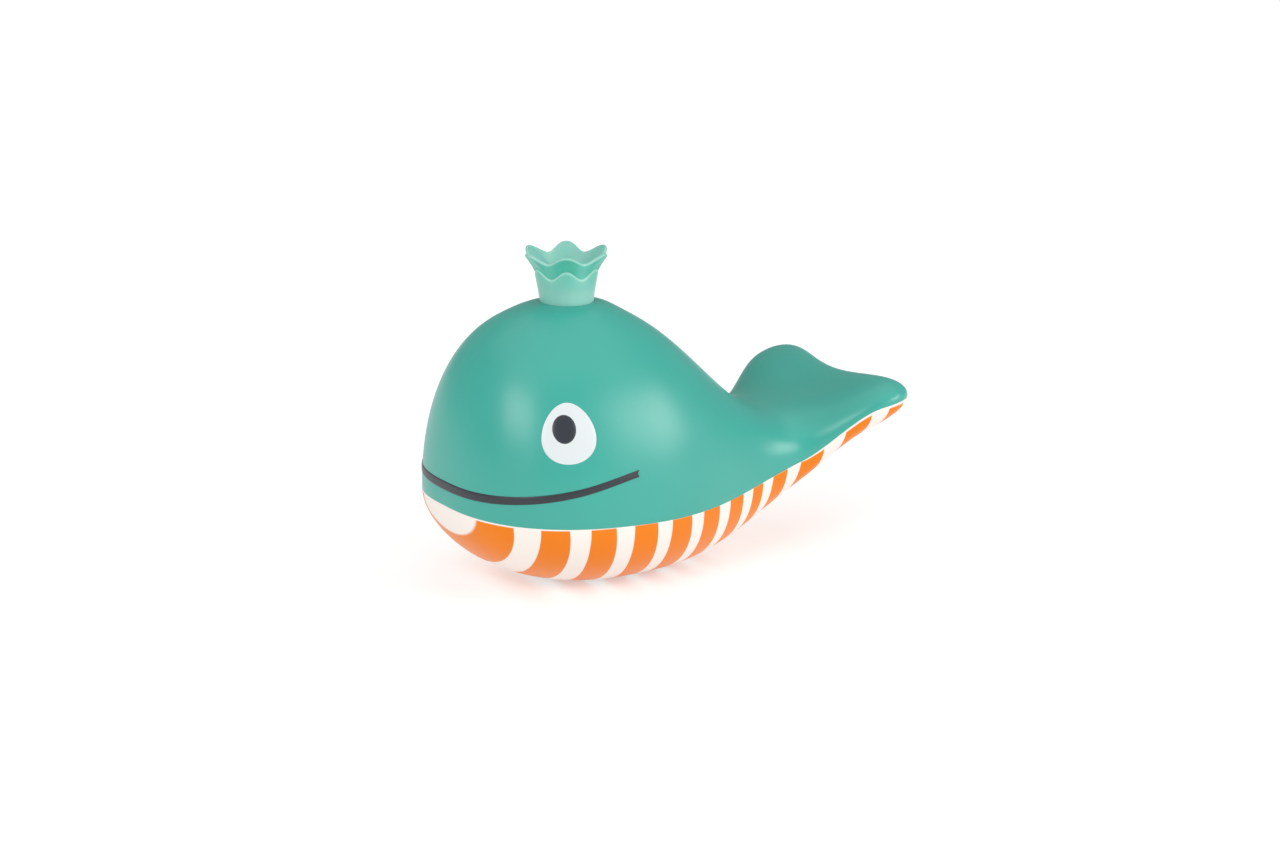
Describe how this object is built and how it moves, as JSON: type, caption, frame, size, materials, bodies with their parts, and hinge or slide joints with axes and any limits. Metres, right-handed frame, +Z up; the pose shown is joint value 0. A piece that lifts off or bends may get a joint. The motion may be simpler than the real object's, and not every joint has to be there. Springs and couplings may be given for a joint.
{
  "type": "bubble whale bath toy",
  "caption": "Hollow whale-shaped squeeze toy that pushes soapy water through a lift-off foam spout with a wavy two-tier crown on its head.",
  "frame": {"origin": "on the resting surface, under the middle of the box around the whole toy", "axes": "+X from the head to the tail, +Y towards the whale's right flank, away from the pictured side, +Z up"},
  "size_m": [0.1502, 0.0814, 0.1008],
  "materials": {
    "teal_vinyl": "satin soft vinyl",
    "striped_vinyl": "satin soft vinyl with printed stripes",
    "eye_white": "satin",
    "slate_trim": "satin",
    "neck_plastic": "satin",
    "mint_plastic": "satin, slightly translucent",
    "seal_rubber": "matte",
    "clear_plastic": "smooth"
  },
  "bodies": {
    "whale": {"back_shell": "teal_vinyl", "belly_shell": "striped_vinyl", "eye_white_left": "eye_white", "eye_white_right": "eye_white", "pupil_left": "slate_trim", "pupil_right": "slate_trim", "smile_line": "slate_trim", "neck_bush": "neck_plastic"},
    "spout": {"crown_cup": "mint_plastic", "crown_flare": "mint_plastic", "seal_ring": "seal_rubber", "foam_mesh": "clear_plastic", "foam_head": "clear_plastic", "dip_tube": "clear_plastic"}
  },
  "joints": [
    {"name": "spout_pull", "type": "slide", "parent": "whale", "child": "spout", "axis": [0, 0, 1], "range_m": [0, 0.08]}
  ]
}
